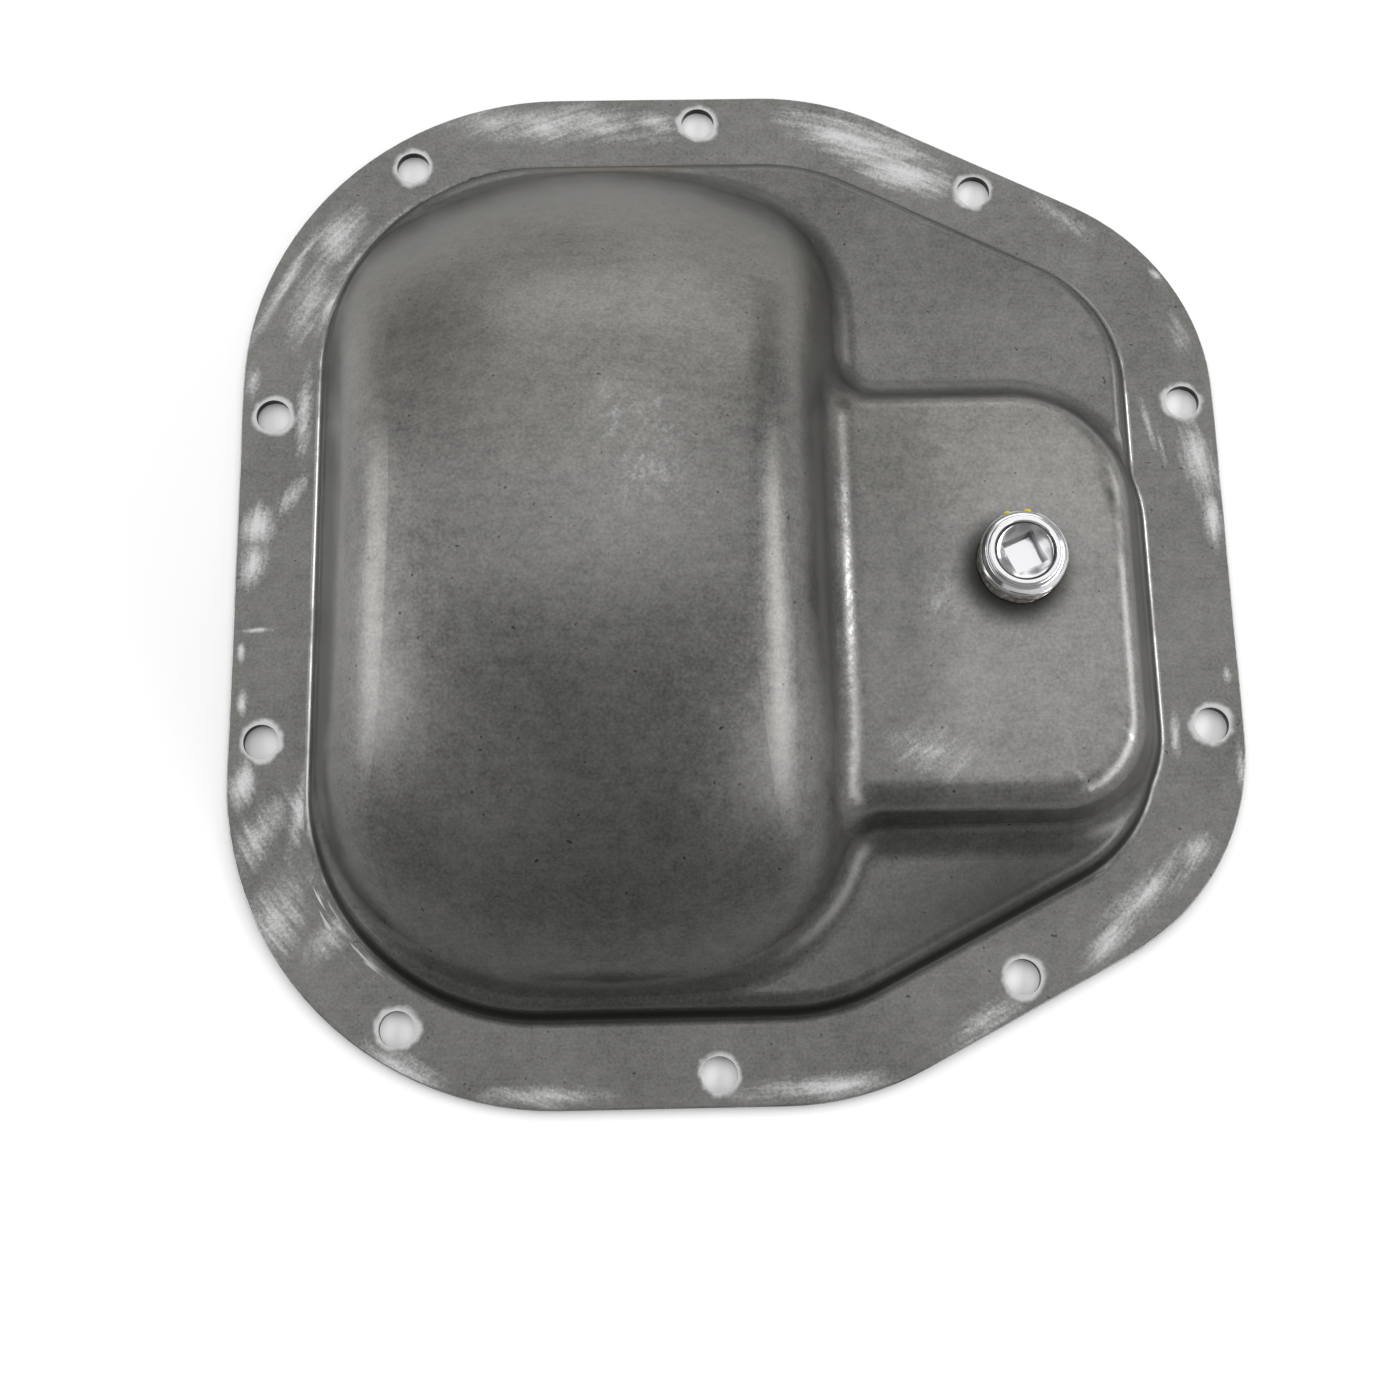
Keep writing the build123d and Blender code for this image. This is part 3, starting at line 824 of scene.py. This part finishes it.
class AXLECOVER_OT_plug(bpy.types.Operator):
    """Model the fill plug with its pipe thread, dish and square socket"""
    bl_idname = "axlecover.plug"
    bl_label = "Fill Plug"

    rows = 120
    sides = 120
    edge_radius = 0.8 * MM

    def execute(self, context):
        settings = context.scene.axlecover_plug
        length = PLUG_HIGH.z - PLUG_LOW.z
        start_fresh()
        bpy.ops.mesh.primitive_cylinder_add(
            vertices=self.sides, radius=PLUG_CREST, depth=length, location=PLUG_AXIS, end_fill_type="NGON",
        )
        plug = context.object
        settle(plug, "plug_body")
        bpy.ops.object.mode_set(mode="EDIT")
        mesh = bmesh.from_edit_mesh(plug.data)
        bpy.ops.mesh.select_all(action="DESELECT")
        for edge in mesh.edges:
            low, high = sorted(vertex.co.z for vertex in edge.verts)
            edge.select_set(high - low > length / 2)
        bmesh.update_edit_mesh(plug.data)
        bpy.ops.mesh.subdivide(number_cuts=self.rows - 1)
        self.cut_thread(plug, settings)
        self.sink_dish(plug, settings)
        bpy.ops.mesh.select_all(action="SELECT")
        bpy.ops.mesh.normals_make_consistent(inside=False)
        bpy.ops.object.mode_set(mode="OBJECT")
        self.cut_socket(plug, settings)
        make_active(plug)
        bpy.ops.object.shade_smooth_by_angle(angle=radians(38))
        finish_piece(plug, plug_steel(settings))
        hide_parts("fill_plug")
        return {"FINISHED"}

    def cut_thread(self, plug, settings):
        """Moves the wall in to a tapered thread, led in by a bevel and rounded at the rim."""
        tooth_depth = 0.95 * MM
        slope = tan(radians(1.79))
        bevel = 3.0 * MM
        end_bevel = 1.2 * MM
        rim = settings.rim / 2
        mesh = bmesh.from_edit_mesh(plug.data)
        for vertex in mesh.verts:
            offset = vertex.co - PLUG_AXIS
            down = PLUG_HIGH.z - vertex.co.z
            direction = Vector((offset.x, offset.y, 0)).normalized()
            turn = Vector((1, 0)).angle_signed(Vector((offset.x, offset.y)), 0)
            phase = (down / settings.pitch + turn / (2 * pi)) % 1
            # A fifth of the pitch is flat crest, and the rest is flanks that meet in the root
            tooth = min(1.0, max(0.0, 1.25 - 2.5 * abs(phase - 0.5)))
            radius = PLUG_CREST - down * slope - tooth_depth * (1 - tooth)
            lead = rim + (PLUG_CREST - rim) * min(1.0, down / bevel)
            radius = min(radius, lead)
            if down < self.edge_radius:
                share = 1 - down / self.edge_radius
                radius = min(radius, rim - self.edge_radius * (1 - (1 - share**2) ** 0.5))
            up = vertex.co.z - PLUG_LOW.z
            if up < end_bevel:
                radius -= end_bevel - up
            place = PLUG_AXIS + direction * radius
            vertex.co.x, vertex.co.y = place.x, place.y
        bmesh.update_edit_mesh(plug.data)

    def sink_dish(self, plug, settings):
        """Insets the outer end to a flat rim and a dish that slopes down to the socket."""
        mesh = bmesh.from_edit_mesh(plug.data)
        bpy.ops.mesh.select_all(action="DESELECT")
        end = max(mesh.faces, key=lambda face: face.calc_center_median().z)
        end.select_set(True)
        bmesh.update_edit_mesh(plug.data)
        flat = (settings.rim - settings.dish) / 2 - self.edge_radius
        # Each step goes in and then down, in mm: the flat rim, the dish's rounded wall, its cone
        steps = (
            (flat / MM - 0.15, 0), (0.25, 0.2), (0.25, 0.6), (0.2, 0.35), (0.25, 0.2),
            (1.0, 0.4), (2.0, 0.8), (2.5, 1.0),
        )
        for inset, fall in steps:
            bpy.ops.mesh.inset(thickness=inset * MM)
            if fall:
                bpy.ops.transform.translate(value=(0, 0, -fall * MM))

    def cut_socket(self, plug, settings):
        """Cuts the square socket with a block whose edges are slightly rounded."""
        bpy.ops.object.select_all(action="DESELECT")
        above = 3 * MM
        place = (PLUG_AXIS.x, PLUG_AXIS.y, PLUG_HIGH.z + (above - settings.depth) / 2)
        bpy.ops.mesh.primitive_cube_add(size=1, location=place, rotation=(0, 0, settings.socket_turn))
        cutter = bpy.context.object
        cutter.scale = (settings.socket, settings.socket, settings.depth + above)
        settle(cutter, "socket_cutter")
        apply_modifier(cutter, "BEVEL", width=0.35 * MM, segments=3)
        make_active(plug)
        apply_modifier(plug, "BOOLEAN", operation="DIFFERENCE", object=cutter, solver="EXACT")
        bpy.data.objects.remove(cutter)


class AXLECOVER_OT_boss(bpy.types.Operator):
    """Give the boss behind the pad its finish and lay the weld bead round it"""
    bl_idname = "axlecover.boss"
    bl_label = "Boss and Weld"

    def execute(self, context):
        dress_node("fill_boss", boss_steel(effect_groups()))
        start_fresh()
        centre = Vector((PLUG_AXIS.x, PLUG_AXIS.y, BOSS_TOP - 1.2 * MM))
        bpy.ops.mesh.primitive_torus_add(
            major_segments=192, minor_segments=12, major_radius=WELD_RADIUS, minor_radius=2.0 * MM,
            location=centre,
        )
        weld = context.object
        settle(weld, "boss_weld")
        bpy.ops.object.mode_set(mode="EDIT")
        self.lay_ripples(weld, centre)
        bpy.ops.object.mode_set(mode="OBJECT")
        bpy.ops.object.shade_smooth()
        finish_piece(weld, weld_steel())
        return {"FINISHED"}

    def lay_ripples(self, weld, centre):
        """Swells and thins the bead along its way, in 44 ripples and 5 longer waves."""
        mesh = bmesh.from_edit_mesh(weld.data)
        for vertex in mesh.verts:
            offset = vertex.co - centre
            core = Vector((offset.x, offset.y, 0)).normalized() * WELD_RADIUS
            turn = Vector((1, 0)).angle_signed(Vector((offset.x, offset.y)), 0)
            bead = offset - core
            ripple = 0.09 * sin(44 * turn + 2.5 * sin(bead.z / MM)) + 0.05 * sin(5 * turn + 1)
            vertex.co += bead * ripple
        bmesh.update_edit_mesh(weld.data)


class AXLECOVER_OT_sealant(bpy.types.Operator):
    """Lay a few flecks of dry sealant on the plug's thread and at its foot"""
    bl_idname = "axlecover.sealant"
    bl_label = "Thread Sealant"

    def execute(self, context):
        flecks = [self.fleck(*sizes) for sizes in FLECKS]
        start_fresh()
        for fleck in flecks:
            fleck.select_set(True)
        context.view_layer.objects.active = flecks[0]
        bpy.ops.object.join()
        sealant = context.object
        sealant.name = "thread_sealant"
        sealant.data.name = "thread_sealant"
        bpy.ops.object.origin_set(type="ORIGIN_CURSOR")
        bpy.ops.object.transform_apply(location=True, rotation=True, scale=True)
        bpy.ops.object.shade_smooth()
        finish_piece(sealant, sealant_finish())
        return {"FINISHED"}

    def fleck(self, turn, length, height, rise):
        """One uneven fleck beside the thread, turned to lie along it."""
        start_fresh()
        angle = radians(turn)
        away = PLUG_CREST + 0.1 * MM
        place = (PLUG_AXIS.x + away * cos(angle), PLUG_AXIS.y + away * sin(angle), PAD_TOP + rise * MM)
        bpy.ops.mesh.primitive_ico_sphere_add(subdivisions=3, radius=1 * MM, location=place)
        made = bpy.context.object
        made.scale = (0.45, length, height)
        made.rotation_euler.z = angle
        settle(made, "fleck")
        bpy.ops.object.mode_set(mode="EDIT")
        bpy.ops.mesh.select_all(action="SELECT")
        bpy.ops.transform.vertex_random(offset=0.12 * MM, uniform=0.2, normal=0.5, seed=turn)
        bpy.ops.object.mode_set(mode="OBJECT")
        return made


class AXLECOVER_OT_stage(bpy.types.Operator):
    """Set up the floor, the soft lamps and the camera"""
    bl_idname = "axlecover.stage"
    bl_label = "Studio"

    def execute(self, context):
        settings = context.scene.axlecover_stage
        start_fresh()
        bpy.ops.mesh.primitive_plane_add(size=6, location=(0, 0, -0.3 * MM))
        floor = context.object
        settle(floor, "floor")
        floor.data.materials.append(floor_finish(settings))
        for name, sizes in LAMPS.items():
            self.lamp(name, *sizes)
        world = bpy.data.worlds.new("studio")
        context.scene.world = world
        world.use_nodes = True
        background = world.node_tree.nodes["Background"]
        background.inputs["Color"].default_value = (1, 1, 1, 1)
        background.inputs["Strength"].default_value = WORLD_LEVEL
        self.camera(context, settings)
        context.scene.view_settings.view_transform = "Standard"
        return {"FINISHED"}

    def lamp(self, name, place, target, width, height, watts):
        """A soft rectangular lamp that faces a point."""
        data = bpy.data.lights.new(name, "AREA")
        data.shape = "RECTANGLE"
        data.size = width
        data.size_y = height
        data.energy = watts
        lamp = bpy.data.objects.new(name, data)
        bpy.context.collection.objects.link(lamp)
        lamp.location = place
        lamp.rotation_euler = (Vector(place) - Vector(target)).to_track_quat("Z", "Y").to_euler()

    def camera(self, context, settings):
        """The camera, at the photograph's angle."""
        data = bpy.data.cameras.new("camera")
        data.lens = settings.lens
        data.sensor_width = 36
        data.shift_y = settings.shift
        data.clip_start = 10 * MM
        camera = bpy.data.objects.new("camera", data)
        context.collection.objects.link(camera)
        camera.location = settings.camera_place
        camera.rotation_euler = settings.camera_turn
        context.scene.camera = camera


class AXLECOVER_PT_sidebar(bpy.types.Panel):
    """Buttons for each group of pieces"""
    bl_idname = "AXLECOVER_PT_sidebar"
    bl_label = "Axle Cover"
    bl_space_type = "VIEW_3D"
    bl_region_type = "UI"
    bl_category = "Axle Cover"

    def draw(self, context):
        for operator in OPERATORS:
            self.layout.operator(operator.bl_idname)


SETTINGS = {
    "axlecover_sheet": CoverSettings,
    "axlecover_plug": PlugSettings,
    "axlecover_stage": StageSettings,
}
OPERATORS = (
    AXLECOVER_OT_stage,
    AXLECOVER_OT_sheet,
    AXLECOVER_OT_plug,
    AXLECOVER_OT_boss,
    AXLECOVER_OT_sealant,
)
CLASSES = (*SETTINGS.values(), *OPERATORS, AXLECOVER_PT_sidebar)


def register():
    for made in CLASSES:
        bpy.utils.register_class(made)
    for name, group in SETTINGS.items():
        setattr(bpy.types.Scene, name, bpy.props.PointerProperty(type=group))


def unregister():
    for name in SETTINGS:
        delattr(bpy.types.Scene, name)
    for made in reversed(CLASSES):
        bpy.utils.unregister_class(made)


def main():
    register()
    bpy.ops.axlecover.stage()
    bpy.ops.axlecover.sheet()
    bpy.ops.axlecover.plug()
    bpy.ops.axlecover.boss()
    bpy.ops.axlecover.sealant()


if __name__ == "__main__":
    main()
